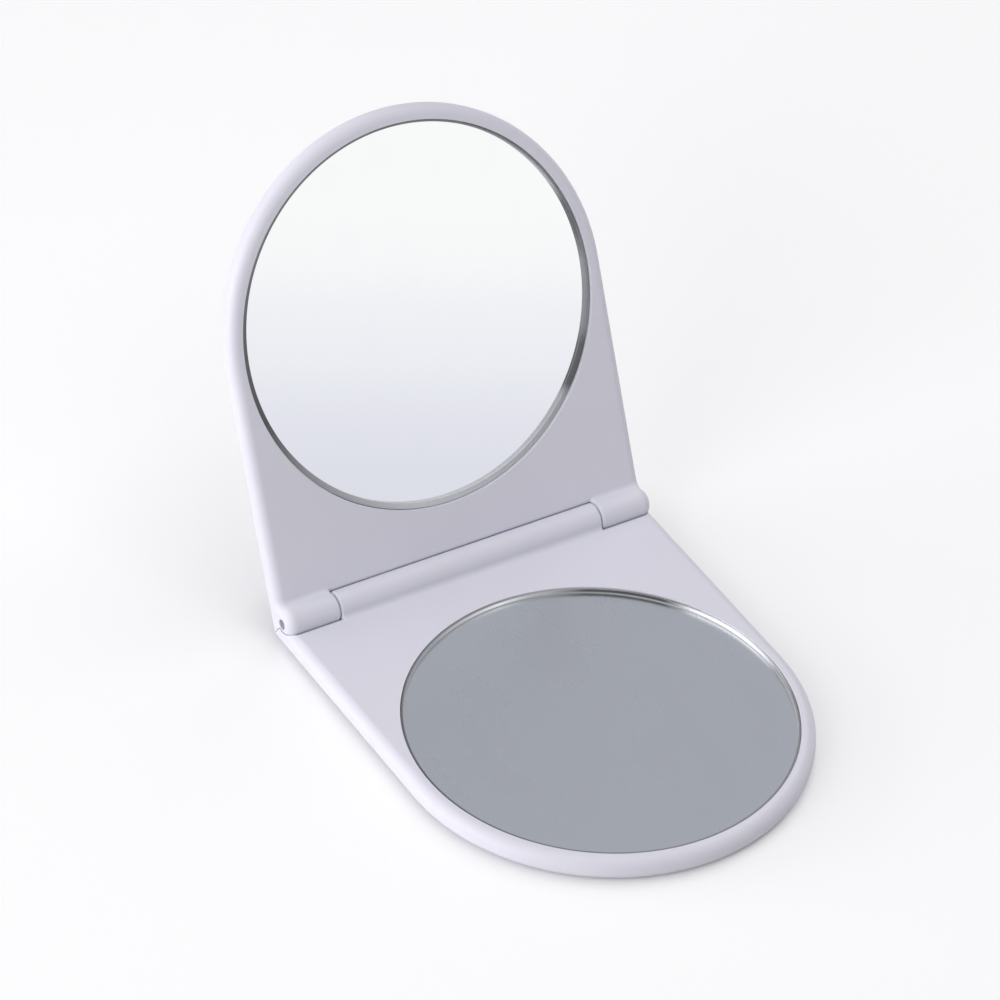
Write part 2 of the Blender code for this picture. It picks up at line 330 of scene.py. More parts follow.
# %% Troughs for the other shell's knuckles
def trough_outline(inset):
    """Side view of a trough, every point moved inwards by the inset, open towards the top.

    The lip is an arc that touches the inner face and the round of the trough.
    """
    radius = TROUGH_RADIUS - inset
    lip = LIP_RADIUS + inset
    centre_z = FACE - LIP_RADIUS
    centre_y = -math.sqrt((radius + lip) ** 2 - centre_z ** 2)
    touch = math.atan2(-centre_z, -centre_y)
    roll = arc((centre_y, centre_z), lip, math.pi / 2, touch, FILLET_STEPS)
    hollow = arc((0.0, 0.0), radius, math.pi + touch, math.pi * 2, KNUCKLE_STEPS)
    top = FACE + OVERRUN
    return np.vstack(((centre_y, top), roll, hollow[1:], (radius, top)))


def centre_trough():
    """Cut in the cover for the long knuckle of the base."""
    return along_x("centre_trough", ((-INNER_END, 0.0), (INNER_END, 0.0)), trough_outline)


def end_trough(side):
    """Cut in the base for an end knuckle, with a round end about the same centre as the knuckle's."""
    radius = INNER_EDGE_RADIUS + KNUCKLE_GAP
    end = arc((HALF_WIDTH - INNER_EDGE_RADIUS, radius), radius,
              -math.pi / 2, -math.acos(INNER_EDGE_RADIUS / radius), EDGE_STEPS)
    stations = np.vstack(((CENTRE_END, 0.0), end, (HALF_WIDTH + OVERRUN, end[-1][1])))
    return along_x("end_trough", stations * (side, 1), trough_outline)


print("trough radius, mm:", round(1000 * TROUGH_RADIUS, 2))

# %% [markdown]
# The pocket is a plain round bore with a crisp lip, because the glass sits close to
# it. The pin holes are small plain bores from both sides. Round things are turned
# about the layout's origin, and those that belong to the mirror are then moved to
# its middle.

# %% Pocket and pin holes
HOLE_AROUND = 64


def to_mirror_middle(body):
    """Move a body's mesh from the layout's origin to the middle of the mirror."""
    body.data.transform(Matrix.Translation((0.0, -REACH, 0.0)))


def pocket():
    """Round pocket: straight wall, and a lip that flares out by a quarter circle."""
    lip = arc((POCKET_RADIUS + CRISP_EDGE, FACE - CRISP_EDGE), CRISP_EDGE,
              math.pi, math.pi / 2, SOFT_STEPS)
    profile = np.vstack(((POCKET_RADIUS, POCKET_FLOOR), lip, (lip[-1][0], FACE + OVERRUN)))
    body = turned("pocket", profile)
    to_mirror_middle(body)
    return body


def pin_hole(side):
    """Blind hole for a pin, as (radius, x) along the hinge axis."""
    radius = PIN_RADIUS + PIN_GAP
    profile = np.array(((radius, PIN_END - PIN_GAP), (radius, HALF_WIDTH + OVERRUN)))
    return turned("pin_hole", profile * (1, side), around=HOLE_AROUND, axis="X")


print("pocket radius, mm:", round(1000 * POCKET_RADIUS, 2))
print("pocket depth, mm:", round(1000 * (FACE - POCKET_FLOOR), 2))

# %% [markdown]
# Booleans put these shapes together, because a real mould tool is cut the same way:
# a plate, less what the other shell's knuckles need, plus its own knuckles, less the
# pocket and the pin holes. The finished shell is shaded smooth with face-weighted
# normals, so the flat faces stay flat right up to their rounded edges.

# %% Put the shells together
SHARP_ANGLE = math.radians(35.0)


def combine(body, operations):
    """Carry out (operation, tool) pairs on a body and leave one plain mesh."""
    for operation, tool in operations:
        step = body.modifiers.new(tool.name, "BOOLEAN")
        step.operation = operation
        step.solver = "EXACT"
        step.object = tool
    depsgraph = bpy.context.evaluated_depsgraph_get()
    result = bpy.data.meshes.new_from_object(body.evaluated_get(depsgraph))
    body.modifiers.clear()
    body.data = result
    for _, tool in operations:
        bpy.data.objects.remove(tool, do_unlink=True)


def shade(body):
    """Smooth shading, with an edge kept crisp where it bends by more than SHARP_ANGLE."""
    body.data.shade_smooth()
    body.data.set_sharp_from_angle(angle=SHARP_ANGLE)


def shell(troughs, knuckles):
    """Plate, side cut, troughs for the other shell's knuckles, own knuckles, pocket, holes."""
    body = plate()
    cut_end = HALF_WIDTH + OVERRUN
    side_cut = along_x("side_cut", ((-cut_end, 0.0), (cut_end, 0.0)), side_outline)
    holes = [pin_hole(side) for side in (-1, 1)]
    operations = [("INTERSECT", side_cut)]
    operations += [("DIFFERENCE", tool) for tool in troughs]
    operations += [("UNION", tool) for tool in knuckles]
    operations += [("DIFFERENCE", tool) for tool in (pocket(), *holes)]
    combine(body, operations)
    shade(body)
    weighted = body.modifiers.new("weighted_normals", "WEIGHTED_NORMAL")
    weighted.keep_sharp = True
    return body


base_shell = shell([end_trough(side) for side in (-1, 1)], [centre_knuckle()])
cover_shell = shell([centre_trough()], [end_knuckle(side) for side in (-1, 1)])
print("points in the two shells:", len(base_shell.data.vertices), len(cover_shell.data.vertices))

# %% [markdown]
# Each finished piece stands for one node of the packed model: the node is hidden,
# and the piece moves with the node's body when the cover folds. The print shows how
# far the piece's box departs from its node's box. That is at most a quarter of a
# millimetre, where a seam is finer or an edge softer than on the solid.


# %% Let a piece stand for its node
def points_of(body):
    """All points of a body's mesh, as one array of (points, 3)."""
    flat = np.empty(3 * len(body.data.vertices), np.float32)
    body.data.vertices.foreach_get("co", flat)
    return flat.reshape(-1, 3).astype(float)


def dress(piece, name, half, node):
    """Name a piece, move its mesh to its half, and let it stand for its packed node."""
    piece.name = name
    piece.data.name = name
    piece.data.transform(PLACES[half])
    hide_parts(node)
    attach(piece, half)
    low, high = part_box(node)
    points = points_of(piece)
    stray = max(np.abs(points.min(0) - low).max(), np.abs(points.max(0) - high).max())
    print(f"{name}: {len(piece.data.polygons)} faces, within {1000 * stray:.3f} mm of its node's box")
    return piece


dress(base_shell, "base_shell_moulding", "base", "base_shell")
dress(cover_shell, "cover_shell_moulding", "cover", "cover_shell")

# %% [markdown]
# A pocket mirror is a disc of glass with silver on its back. Seen through the
# glass, the silver seems to lie nearer than it is, at the glass thickness divided by
# about one and a half. The silver also stops a little inside the edge, and in the
# cover it sits slightly off centre. So the disc is turned here with a ring round the
# silver that slopes off like a ground bevel, then the edge wall that shows through
# the glass, and then the silver at its apparent depth. It stays opaque and looks
# right without tracing light through glass.

# %% Mirrors
GLASS_INDEX = 1.52
EDGE_BREAK = 0.00004
RING_DROP = 0.00006
WALL_LEAN = 0.00003
RING_WIDTH = {"base": 0.00032, "cover": 0.00062}
SILVER_SHIFT = {"base": (0.0, 0.0), "cover": (-0.00012, -0.00025)}
SILVER_RINGS = 2


def reshape(body, points):
    """Put changed points, given as (points, 3), back into a body's mesh."""
    body.data.vertices.foreach_set("co", points.astype(np.float32).ravel())


def silver_level(half):
    """Apparent height of the silver: the glass top less the thickness over the index."""
    return FACE - RECESS[half] - GLASS_THICKNESS / GLASS_INDEX


def mirror(half):
    """Turned disc, as (radius, height): back, side, broken edge, sloping ring, edge wall, silver.

    The last two rings bound the silver, and they are moved by its shift off centre.
    """
    top = FACE - RECESS[half]
    bottom = top - GLASS_THICKNESS
    inner = GLASS_RADIUS - RING_WIDTH[half]
    profile = (
        (GLASS_RADIUS - EDGE_BREAK, bottom),
        (GLASS_RADIUS, bottom + EDGE_BREAK),
        (GLASS_RADIUS, top - RING_DROP - EDGE_BREAK),
        (GLASS_RADIUS - EDGE_BREAK, top - RING_DROP),
        (inner, top),
        (inner - WALL_LEAN, silver_level(half)),
    )
    body = turned("mirror", profile)
    points = points_of(body)
    around = len(points) // len(profile)
    points[-SILVER_RINGS * around:, :2] += SILVER_SHIFT[half]
    reshape(body, points)
    to_mirror_middle(body)
    shade(body)
    return body


base_mirror = dress(mirror("base"), "base_mirror_disc", "base", "base_mirror")
cover_mirror = dress(mirror("cover"), "cover_mirror_disc", "cover", "cover_mirror")
print("the silver seems to lie this deep, mm:", round(1000 * GLASS_THICKNESS / GLASS_INDEX, 2))

# %% [markdown]
# Under each glass lies a disc of thin double-sided foam. It is out of sight, and
# still made as what it is: pressed foam bulges a little at its edge, so its edge is
# an arc and its radius waves slightly, as a hand-punched disc's does.

# %% Foam pads
PAD_WAVES = 7
PAD_WAVE_SHARE = 0.004
BULGE_STEPS = 8


def pad(half):
    """Disc whose edge bulges as an arc and whose radius varies as a slow sine round it."""
    top = FACE - RECESS[half] - GLASS_THICKNESS - SEAT_GAP
    edge = (top - PAD_BOTTOM) / 2
    bulge = arc((PAD_RADIUS - edge, PAD_BOTTOM + edge), edge, -math.pi / 2, math.pi / 2, BULGE_STEPS)
    body = turned("pad", bulge)
    points = points_of(body)
    turn = np.arctan2(points[:, 1], points[:, 0])
    shrink = 1 - PAD_WAVE_SHARE * (1 + np.sin(PAD_WAVES * turn)) / 2
    points[:, :2] *= shrink[:, None]
    reshape(body, points)
    to_mirror_middle(body)
    shade(body)
    return body


base_pad = dress(pad("base"), "base_foam_disc", "base", "base_mirror_pad")
cover_pad = dress(pad("cover"), "cover_foam_disc", "cover", "cover_mirror_pad")

# %% [markdown]
# Each hinge pin is a cut piece of wire, tumbled so that its ends are round. It is
# turned about the hinge axis, from a profile of two quarter circles.

# %% Hinge pins
PIN_AROUND = 48
PIN_END_STEPS = 6


def pin(side):
    """Wire pin on the hinge axis: a quarter circle rounds each of its two ends."""
    end_radius = PIN_RADIUS / 2
    corner = PIN_RADIUS - end_radius
    near = arc((corner, PIN_END + end_radius), end_radius, -math.pi / 2, 0.0, PIN_END_STEPS)
    far = arc((corner, PIN_START - end_radius), end_radius, 0.0, math.pi / 2, PIN_END_STEPS)
    body = turned("pin", np.vstack((near, far)) * (1, -side), around=PIN_AROUND, axis="X")
    shade(body)
    return body


left_pin = dress(pin(-1), "left_wire_pin", "cover", "left_hinge_pin")
right_pin = dress(pin(1), "right_wire_pin", "cover", "right_hinge_pin")

# %% [markdown]
# Shader maths reads best as sums. The small class below wraps a socket, and each
# operator adds one Math node, also when the number stands first, as in 1 - mask.


# %% Sockets as values in sums
class Value:
    """A socket that takes part in sums: each operator adds one Math node."""

    def __init__(self, sheet, socket):
        self.sheet = sheet
        self.socket = socket

    def maths(self, operation, first, second):
        """One Math node on two values or numbers."""
        return self.sheet.node("ShaderNodeMath", {"operation": operation}, {0: first, 1: second})

    def __add__(self, other):
        return self.maths("ADD", self, other)

    def __radd__(self, other):
        return self.maths("ADD", other, self)

    def __sub__(self, other):
        return self.maths("SUBTRACT", self, other)

    def __rsub__(self, other):
        return self.maths("SUBTRACT", other, self)

    def __mul__(self, other):
        return self.maths("MULTIPLY", self, other)

    def __rmul__(self, other):
        return self.maths("MULTIPLY", other, self)

    def __truediv__(self, other):
        return self.maths("DIVIDE", self, other)


print("operators that a value knows: + - * /")

# %% [markdown]
# Every other node comes from one method of the sheet of nodes. It takes the node's
# type, its settings and what its sockets get, so a material below reads as a list of
# what it is made of. The remaining methods are short names for the few kinds of node
# that these finishes share.


# %% The sheet of nodes of a material
class Sheet:
    """The nodes of one material or world, with the ways to add to them."""

    def __init__(self, owner):
        owner.use_nodes = True
        self.owner = owner
        self.tree = owner.node_tree
        self.tree.nodes.clear()

    def node(self, kind, settings=None, inputs=None, output=0):
        """Add a node, set it up, feed its sockets, and return one of its outputs, if it has any."""
        made = self.tree.nodes.new(kind)
        for key, value in (settings or {}).items():
            if key == "stops":
                self.set_stops(made.color_ramp, value)
            else:
                setattr(made, key, value)
        for key, value in (inputs or {}).items():
            socket = made.inputs[key]
            if isinstance(value, Value):
                self.tree.links.new(value.socket, socket)
            else:
                socket.default_value = value
        return Value(self, made.outputs[output]) if made.outputs else None

    def outputs(self, kind, names, inputs=None):
        """Add a node of which several outputs are used, and return those."""
        made = self.node(kind, {}, inputs).socket.node
        return [Value(self, made.outputs[name]) for name in names]

    def set_stops(self, ramp, stops):
        """Give a colour ramp its (place, colour) stops."""
        while len(ramp.elements) < len(stops):
            ramp.elements.new(1.0)
        for element, (place, colour) in zip(ramp.elements, stops):
            element.position = place
            element.color = (*colour, 1.0)

    def point(self):
        """The point in object space."""
        return self.node("ShaderNodeTexCoord", output="Object")

    def layout(self, half):
        """The point in the layout of a half, from its place in object space."""
        back = PLACES[half].inverted()
        return self.node(
            "ShaderNodeMapping",
            {"vector_type": "POINT"},
            {"Vector": self.point(), "Location": back.to_translation(), "Rotation": back.to_euler()},
        )

    def noise(self, point, scale, detail):
        """Fractal noise from 0 to 1, scale in waves to the metre."""
        return self.node("ShaderNodeTexNoise", {}, {"Vector": point, "Scale": scale, "Detail": detail})

    def streaks(self, point, scales, detail):
        """Noise with its own number of waves to the metre along each axis."""
        stretched = self.node("ShaderNodeVectorMath", {"operation": "MULTIPLY"}, {0: point, 1: scales})
        return self.noise(stretched, 1.0, detail)

    def blend(self, share, first, second):
        """Colour between first at share 0 and second at share 1."""
        return self.node(
            "ShaderNodeMix", {"data_type": "RGBA"}, {0: share, 6: first, 7: second}, output=2
        )

    def ramp(self, share, stops):
        """Colour from a colour ramp of (place, colour) stops."""
        return self.node("ShaderNodeValToRGB", {"stops": stops}, {0: share})

    def step(self, value, low, high):
        """0 below low, 1 above high, and a smooth slope between them."""
        return self.node(
            "ShaderNodeMapRange",
            {"interpolation_type": "SMOOTHSTEP"},
            {"Value": value, "From Min": low, "From Max": high},
        )

    def bump(self, height, depth):
        """A normal from a height from 0 to 1 that stands for a depth in metres."""
        return self.node("ShaderNodeBump", {}, {"Height": height, "Strength": 1.0, "Distance": depth})

    def finish(self, inputs):
        """Close the material with one Principled shader."""
        shader = self.node("ShaderNodeBsdfPrincipled", {}, inputs)
        self.node("ShaderNodeOutputMaterial", {}, {"Surface": shader})
        print(self.owner.name, "has", len(self.tree.nodes), "nodes")


def new_sheet(name):
    """A new material and its empty sheet of nodes."""
    material = bpy.data.materials.new(name)
    return material, Sheet(material)


def colour(red, green, blue):
    """A colour socket's value."""
    return (red, green, blue, 1.0)


def even_grey(level):
    """The colour socket's value of a grey without any tint."""
    return colour(level, level, level)


print("ways to add nodes:", [name for name in vars(Sheet) if not name.startswith("_")])


# %% [markdown]
# The plastic is a cool white with a satin skin. Under a lens such a moulding shows
# three things: a very fine grain from the tool, wide soft clouds where the melt
# flowed, and a few hair scratches where the closed case lies on a table. The clouds
# move the colour a little and the smudges of fingers the gloss, and grain and
# scratches are a shallow bump.

# %% Satin white plastic
CLOUD_WAVES = 70.0
GRAIN_WAVES = 5200.0
SMUDGE_WAVES = 160.0
SCRATCH_WAVES = (900.0, 45.0, 900.0)
SMUDGE_LIMITS = (0.45, 0.75)
SCRATCH_LIMITS = (0.70, 0.78)
GRAIN_SHARE = 0.6
SCRATCH_SHARE = 0.4
SKIN_DEPTH = 0.000012
SATIN_ROUGHNESS = 0.34
SMUDGE_ROUGHNESS = 0.08
PLASTIC_INDEX = 1.48
DARKER_WHITE = colour(0.738, 0.730, 0.808)
LIGHTER_WHITE = colour(0.778, 0.770, 0.850)


def plastic():
    """Two whites mixed by clouds, gloss dulled by smudges, height = grain less scratches."""
    material, sheet = new_sheet("satin_white_plastic")
    point = sheet.point()
    clouds = sheet.noise(point, CLOUD_WAVES, detail=3.0)
    grain = sheet.noise(point, GRAIN_WAVES, detail=1.0)
    smudges = sheet.step(sheet.noise(point, SMUDGE_WAVES, detail=4.0), *SMUDGE_LIMITS)
    hairs = sheet.step(sheet.streaks(point, SCRATCH_WAVES, detail=2.0), *SCRATCH_LIMITS)
    height = grain * GRAIN_SHARE - hairs * SCRATCH_SHARE
    sheet.finish({
        "Base Color": sheet.blend(clouds, DARKER_WHITE, LIGHTER_WHITE),
        "Roughness": SATIN_ROUGHNESS + SMUDGE_ROUGHNESS * smudges,
        "IOR": PLASTIC_INDEX,
        "Normal": sheet.bump(height, SKIN_DEPTH),
    })
    return material


satin_plastic = plastic()
for moulding in (base_shell, cover_shell):
    moulding.data.materials.clear()
    moulding.data.materials.append(satin_plastic)

# %% [markdown]
# The silver is a mirror with faint smears. The cover's mirror throws back nearly all the light. The
# base's silver is given a darker, slightly bluish colour, which paints a dimmer reflection onto it,
# and a thin haze of roughness, which softens what it shows. So the same recipe is used twice, each
# time with its own colours and haze. The paint on the back of the glass protects the silver, and only
# its edge could ever show.

# %% Silver and backing paint
SMEAR_WAVES = (140.0, 60.0, 140.0)
SMEAR_LIMITS = (0.5, 0.8)
SMEAR_ROUGHNESS = 0.03
SPECK_WAVES = 900.0
PAINT_GREYS = (colour(0.20, 0.21, 0.22), colour(0.26, 0.27, 0.28))


def silver(name, clean, smeared, haze):
    """A metal whose colour and roughness change a little where smears lie on it."""
    material, sheet = new_sheet(name)
    smears = sheet.step(sheet.streaks(sheet.point(), SMEAR_WAVES, detail=4.0), *SMEAR_LIMITS)
    sheet.finish({
        "Base Color": sheet.blend(smears, clean, smeared),
        "Metallic": 1.0,
        "Roughness": haze + SMEAR_ROUGHNESS * smears,
    })
    return material


def backing_paint():
    """Two greys mixed by fine specks."""
    material, sheet = new_sheet("backing_paint")
    specks = sheet.noise(sheet.point(), SPECK_WAVES, detail=3.0)
    sheet.finish({
        "Base Color": sheet.blend(specks, *PAINT_GREYS),
        "Roughness": 0.6,
    })
    return material


SILVERS = {
    # The base silver's darker colour paints a dimmer reflection.
    "base": silver("base_silver_painted_dimmer",
                   clean=colour(0.71, 0.73, 0.735), smeared=colour(0.70, 0.72, 0.73), haze=0.27),
    "cover": silver("cover_silvered_face",
                    clean=colour(0.94, 0.95, 0.955), smeared=colour(0.93, 0.94, 0.95), haze=0.012),
}
paint = backing_paint()

# %% [markdown]
# The edge is the ground glass seen from inside: grey, with darker and lighter stretches of painted
# reflection and painted shade, and a few painted glints that glow. A real edge gets them from many
# small reflections inside the glass and from the shade of the pocket round it, which this opaque disc
# hasn't got. So they are painted by the angle round the disc, and they stay with it in every view.
# Close to the silver, all stretches fade to one even grey.

# %% Recipe for a ground edge with painted light
EDGE_TINT = (1.0, 1.01, 1.04)
EDGE_ROUGHNESS = 0.25
SPECKLE_ROUGHNESS = 0.2
SPECKLE_WAVES = 3000.0
SPECKLE_SHARE = 0.15
SPECKLE_GREY = colour(0.25, 0.27, 0.27)
NO_PAINTED_GLINTS = ((0.0, 0.0), (1.0, 0.0))


def greys(stops):
    """Ramp stops from (share of a turn, grey) pairs, each grey times the edge's tint."""
    return [(place, tuple(grey * part for part in EDGE_TINT)) for place, grey in stops]


def ground_edge_painted_light(name, half, tones, painted_glints, fade, foot):
    """Ground glass: one ramp paints its reflections and shade, one its glowing glints, by the share of
    a turn.

    The share is the angle from the middle of the mirror, over a full turn, plus a
    half. From the silver up to the fade height both ramps give way to the foot's grey.
    """
    material, sheet = new_sheet(name)
    point = sheet.layout(half)
    across, along, height = sheet.outputs("ShaderNodeSeparateXYZ", (0, 1, 2), {0: point})
    turn = sheet.node("ShaderNodeMath", {"operation": "ARCTAN2"}, {0: along + REACH, 1: across})
    share = turn / (2 * math.pi) + 0.5
    above = sheet.step(height, silver_level(half), silver_level(half) + fade)
    # The tones paint reflections and shade, and the glints paint highlights that glow.
    grey = sheet.blend(above, even_grey(foot), sheet.ramp(share, greys(tones)))
    painted_glint_glow = sheet.blend(above, even_grey(0.0), sheet.ramp(share, greys(painted_glints)))
    speckle = sheet.noise(point, SPECKLE_WAVES, detail=2.0)
    sheet.finish({
        "Base Color": sheet.blend(speckle * SPECKLE_SHARE, grey, SPECKLE_GREY),
        "Roughness": EDGE_ROUGHNESS + SPECKLE_ROUGHNESS * speckle,
        "IOR": GLASS_INDEX,
        "Emission Color": painted_glint_glow,
        "Emission Strength": 1.0,
    })
    return material


print("ten degrees are this share of a turn:", round(10 / 360, 3))

# %% [markdown]
# These are the painted reflections and painted shade round the four edges, as pairs of share of a turn
# and grey, and the painted glints, which glow. On the base, share 0.25 is the front, 0.5 the right and
# 0.75 the side of the hinge. On the cover, 0.25 is the top, 0.5 the left and 0.75 the side of the
# hinge. The sloping ring lies in the face and shows all the way round. The edge wall shows only on the
# side away from the viewer, so its dark and bright stretches matter most there.

# %% Painted reflections, shade and glints round the edges
# Each ring and wall material paints reflections and shade by angle, and the glints glow.
RINGS = {
    "base": ground_edge_painted_light(
        "base_ring_painted_light", "base",
        tones=((0.0, 0.16), (0.10, 0.20), (0.25, 0.24), (0.45, 0.28), (0.50, 0.75),
               (0.54, 0.98), (0.578, 0.80), (0.60, 0.26), (0.72, 0.50), (0.76, 0.40),
               (0.85, 0.32), (0.92, 0.20), (1.0, 0.16)),
        painted_glints=((0.0, 0.0), (0.50, 0.0), (0.54, 0.20), (0.58, 0.0), (1.0, 0.0)),
        fade=0.0001, foot=0.85),
    "cover": ground_edge_painted_light(
        "cover_ring_painted_light", "cover",
        tones=((0.0, 0.34), (0.04, 0.22), (0.09, 0.36), (0.25, 0.30), (0.42, 0.26),
               (0.47, 0.16), (0.50, 0.15), (0.55, 0.10), (0.61, 0.42), (0.72, 0.75),
               (0.80, 0.62), (0.885, 0.46), (0.895, 0.12), (0.93, 0.12), (0.945, 0.32),
               (1.0, 0.34)),
        painted_glints=NO_PAINTED_GLINTS, fade=0.0001, foot=0.85),
}
WALLS = {
    "base": ground_edge_painted_light(
        "base_edge_wall_painted_light", "base",
        tones=((0.0, 0.80), (0.37, 0.80), (0.42, 0.50), (0.455, 0.36), (0.485, 0.40),
               (0.505, 0.85), (0.585, 0.90), (0.610, 0.06), (0.675, 0.06), (0.71, 0.70),
               (0.75, 0.95), (0.79, 0.85), (0.84, 0.85), (1.0, 0.85)),
        painted_glints=((0.0, 0.0), (0.49, 0.0), (0.52, 0.42), (0.578, 0.32), (0.598, 0.0),
                (0.72, 0.03), (0.75, 0.36), (0.79, 0.16), (0.83, 0.03), (1.0, 0.0)),
        fade=0.0003, foot=0.6),
    "cover": ground_edge_painted_light(
        "cover_edge_wall_painted_light", "cover",
        tones=((0.0, 0.32), (0.025, 0.09), (0.055, 0.09), (0.075, 0.55), (0.12, 0.50),
               (0.60, 0.60), (0.73, 0.85), (0.82, 0.70), (0.885, 0.50), (0.895, 0.08),
               (0.93, 0.08), (0.945, 0.26), (1.0, 0.32)),
        painted_glints=NO_PAINTED_GLINTS, fade=0.0001, foot=0.4),
}

# %% [markdown]
# A turned disc's faces come in a known order: band after band from the back to the
# silver, then the two caps. So the finishes go on by counting. The last band is the
# edge wall, the last cap but one the painted back, and the last cap the silver.
# Every other face belongs to the ring and the glass's outer side.

# %% Put the finishes on the discs
RING_SLOT = 0
SILVER_SLOT = 1
PAINT_SLOT = 2
WALL_SLOT = 3
BANDS = 5

for half, disc in (("base", base_mirror), ("cover", cover_mirror)):
    for finish in (RINGS[half], SILVERS[half], paint, WALLS[half]):
        disc.data.materials.append(finish)
    slots = np.full(len(disc.data.polygons), RING_SLOT, np.int32)
    around = (len(slots) - 2) // BANDS
    slots[(BANDS - 1) * around:-2] = WALL_SLOT
    slots[-1] = SILVER_SLOT
    slots[-2] = PAINT_SLOT
    disc.data.polygons.foreach_set("material_index", slots)
    print(disc.name, "faces per slot:", np.bincount(slots).tolist())

# %% [markdown]
# Foam has fine cells, which a Voronoi pattern gives, and drawn wire has fine lines
# along its length, which noise gives when it is stretched along X.

# %% Foam and steel
CELL_WAVES = 3500.0
CELL_DEPTH = 0.00004
FOAM_GREYS = (colour(0.72, 0.72, 0.70), colour(0.58, 0.58, 0.56))
WIRE_WAVES = (150.0, 9000.0, 9000.0)
WIRE_DEPTH = 0.000008
WIRE_GREYS = (colour(0.42, 0.42, 0.43), colour(0.58, 0.58, 0.59))
WIRE_ROUGHNESS = 0.25
LINE_ROUGHNESS = 0.15


def foam():
    """Distance to the nearest cell centre mixes two greys and gives the height."""
    material, sheet = new_sheet("cell_foam")
    cells = sheet.node("ShaderNodeTexVoronoi", {}, {"Vector": sheet.point(), "Scale": CELL_WAVES})
    sheet.finish({
        "Base Color": sheet.blend(cells, *FOAM_GREYS),
        "Roughness": 0.85,
        "Normal": sheet.bump(cells, CELL_DEPTH),
    })
    return material


def steel():
    """Lines along the wire change its grey, its gloss and its height."""
    material, sheet = new_sheet("drawn_wire_steel")
    lines = sheet.streaks(sheet.point(), WIRE_WAVES, detail=2.0)
    sheet.finish({
        "Base Color": sheet.blend(lines, *WIRE_GREYS),
        "Metallic": 1.0,
        "Roughness": WIRE_ROUGHNESS + LINE_ROUGHNESS * lines,
        "Normal": sheet.bump(lines, WIRE_DEPTH),
    })
    return material


for finish, pieces in ((foam(), (base_pad, cover_pad)), (steel(), (left_pin, right_pin))):
    for piece in pieces:
        piece.data.materials.append(finish)

# %% [markdown]
# The stage is a pale table without an edge in view. A camera ray sees it a little brighter than the
# lamps make it, so the background comes out nearly white and the soft shadow round the base stays.
# That extra light stops where something stands close over the table, which paints a dark contact
# shadow right under an edge, as a real table has. Other rays see the plain table, so it throws no
# extra light on the mirror.

# %% Table
TABLE_RADIUS = 1.6
TABLE_DROP = 0.00002
TABLE_AROUND = 128
TABLE_GREY = 0.84
EXTRA_LIGHT = 0.24
CONTACT_REACH = 0.008
CONTACT_SAMPLES = 4


def table():
    """A flat round disc just under the base: one ring of angle t and a cap."""
    t = np.linspace(0, 2 * math.pi, TABLE_AROUND, endpoint=False)
    ring = np.column_stack((np.cos(t), np.sin(t), np.zeros_like(t))) * TABLE_RADIUS
    ring[:, 2] = -TABLE_DROP
    mesh = bpy.data.meshes.new("table")
    mesh.from_pydata(ring, [], [list(range(len(ring)))])
    top = bpy.data.objects.new("table", mesh)
    bpy.context.scene.collection.objects.link(top)
    return top


def table_finish():
    """Matt grey, plus a light that only the camera sees and only where the table is open, which paints
    a contact shadow.
    """
    material, sheet = new_sheet("pale_table")
    seen = sheet.node("ShaderNodeLightPath", output="Is Camera Ray")
    # Ambient occlusion cuts the extra light near the base, which paints a contact shadow.
    open_air = sheet.node("ShaderNodeAmbientOcclusion", {"samples": CONTACT_SAMPLES},
                          {"Distance": CONTACT_REACH}, output="AO")
    sheet.finish({
        "Base Color": even_grey(TABLE_GREY),
        "Roughness": 1.0,
        "Specular IOR Level": 0.0,
        "Emission Color": sheet.blend(seen * open_air, even_grey(0.0), even_grey(1.0)),
        "Emission Strength": EXTRA_LIGHT,
    })
    return material


table_top = table()
table_top.data.materials.append(table_finish())

# %% [markdown]
# The sky has three faces: pale for the camera, a studio that mirrors and gloss see,
# and a plain even light for everything else. The studio is a row of tones along one
# slanted direction: grey-blue low down, white where a large panel hangs, and darker
# again above it. The open cover's mirror looks into the lower edge of that panel, and
# its soft change from grey-blue to white comes from there.

# %% Sky
PANEL_UP = (0.346, 0.164, 1.0)
SEEN_GREY = 0.947
EVEN_LIGHT = colour(0.195, 0.195, 0.21)
STUDIO_TONES = (
    (0.50, (0.66, 0.67, 0.74)),
    (0.543, (0.772, 0.775, 0.845)),
    (0.547, (0.815, 0.815, 0.885)),
    (0.5505, (0.883, 0.888, 0.93)),
    (0.5545, (0.918, 0.922, 0.955)),
    (0.5595, (1.0, 1.0, 0.995)),
    (0.62, (1.0, 1.0, 1.0)),
    (0.80, (0.505, 0.515, 0.575)),
    (0.97, (0.505, 0.515, 0.575)),
    (1.0, (0.54, 0.55, 0.61)),
)

world = bpy.data.worlds.new("studio")
bpy.context.scene.world = world
sky = Sheet(world)
seen, glossy = sky.outputs("ShaderNodeLightPath", ("Is Camera Ray", "Is Glossy Ray"))
direction = sky.node("ShaderNodeTexCoord", output="Generated")
height = sky.node("ShaderNodeVectorMath", {"operation": "DOT_PRODUCT"},
                  {0: direction, 1: PANEL_UP}, output=1)
# The height runs from about -1 straight down to 1 straight up, and the ramp from 0 to 1
studio = sky.ramp(height * 0.5 + 0.5, STUDIO_TONES)
plain = sky.blend(glossy, EVEN_LIGHT, studio)
shown = sky.blend(seen, plain, even_grey(SEEN_GREY))
light = sky.node("ShaderNodeBackground", {}, {"Color": shown, "Strength": 1.0})
sky.node("ShaderNodeOutputWorld", {}, {"Surface": light})
print("sky tones for gloss:", len(STUDIO_TONES))

# %% [markdown]
# Five soft lamps give the plastic its shape. In the photo the left edges are the
# brightest, so two low windows and a panel stand on the left. A large softbox high up
# lights the inner face of the base, and a weaker panel in front lifts the cover. No
# gloss sees them, because the sky already holds the studio that reflections show.

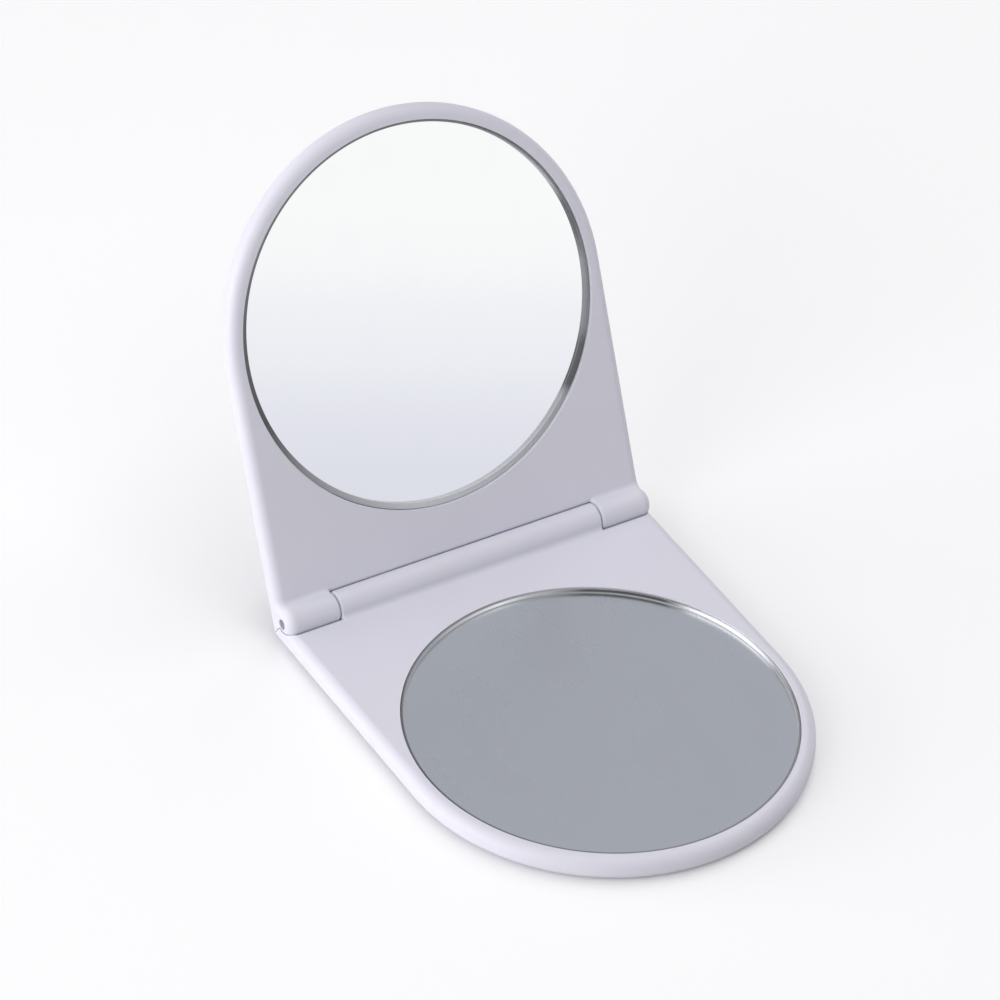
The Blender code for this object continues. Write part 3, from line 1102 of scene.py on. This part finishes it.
# %% Lamps
# Name, direction from the mirror, distance in metres, (width, height) in metres, watts
LAMPS = (
    ("low_window", (-0.84, 0.54, 0.12), 0.9, (0.7, 0.22), 3.0),
    ("side_window", (-0.97, 0.10, 0.12), 0.9, (0.7, 0.22), 1.7),
    ("left_panel", (-0.90, -0.25, 0.35), 0.9, (0.6, 0.6), 3.1),
    ("high_softbox", (0.45, 0.25, 0.85), 1.0, (0.9, 0.9), 4.7),
    ("front_panel", (0.05, -0.42, 0.90), 1.0, (0.7, 0.7), 1.9),
)

middle = (cad_low + cad_high) / 2
for name, towards, distance, size, watts in LAMPS:
    lamp = bpy.data.lights.new(name, "AREA")
    lamp.shape = "RECTANGLE"
    lamp.size, lamp.size_y = size
    lamp.energy = watts
    holder = bpy.data.objects.new(name, lamp)
    bpy.context.scene.collection.objects.link(holder)
    way = Vector(towards).normalized()
    holder.location = middle + way * distance
    holder.rotation_euler = (-way).to_track_quat("-Z", "Y").to_euler()
    holder.visible_glossy = False
    print(name, watts, "W at", [round(value, 2) for value in holder.location])

# %% [markdown]
# The camera was worked out from the photograph: the two mirror rims, the outlines and
# the hinge seams fix where it stood. It looks from the left front and from above with
# a long lens, a metre away, and is turned a little about its own axis. Its stand-off
# is where the hinge lies as the camera sees it.

# %% Camera
PIXEL_FOCAL = 7163.492
FRAME_PIXELS = 1000.0
SENSOR = 36.0
AZIMUTH = math.radians(-33.5632)
ELEVATION = math.radians(39.6276)
ROLL = math.radians(4.1316)
STAND_OFF = Vector((-0.004997, -0.0089962, -1.0498907))
NEAREST = 0.05
FARTHEST = 10.0

camera = bpy.data.cameras.new("camera")
camera.sensor_width = SENSOR
camera.lens = PIXEL_FOCAL * SENSOR / FRAME_PIXELS
camera.clip_start = NEAREST
camera.clip_end = FARTHEST
back = Vector((math.sin(AZIMUTH) * math.cos(ELEVATION),
               -math.cos(AZIMUTH) * math.cos(ELEVATION), math.sin(ELEVATION)))
right = Vector((math.cos(AZIMUTH), math.sin(AZIMUTH), 0.0))
upward = back.cross(right)
turning = Matrix((right, upward, back)).transposed() @ Matrix.Rotation(ROLL, 3, "Z")
viewer = bpy.data.objects.new("camera", camera)
bpy.context.scene.collection.objects.link(viewer)
viewer.matrix_world = Matrix.Translation(hinge - turning @ STAND_OFF) @ turning.to_4x4()
bpy.context.scene.camera = viewer
bpy.context.scene.view_settings.view_transform = "Standard"
print("lens, mm:", round(camera.lens, 1), "distance, m:", round(STAND_OFF.length, 3))

# %% [markdown]
# A dressed model must be no larger than the solids that it stands for, or it would bump into things
# that the solids clear.
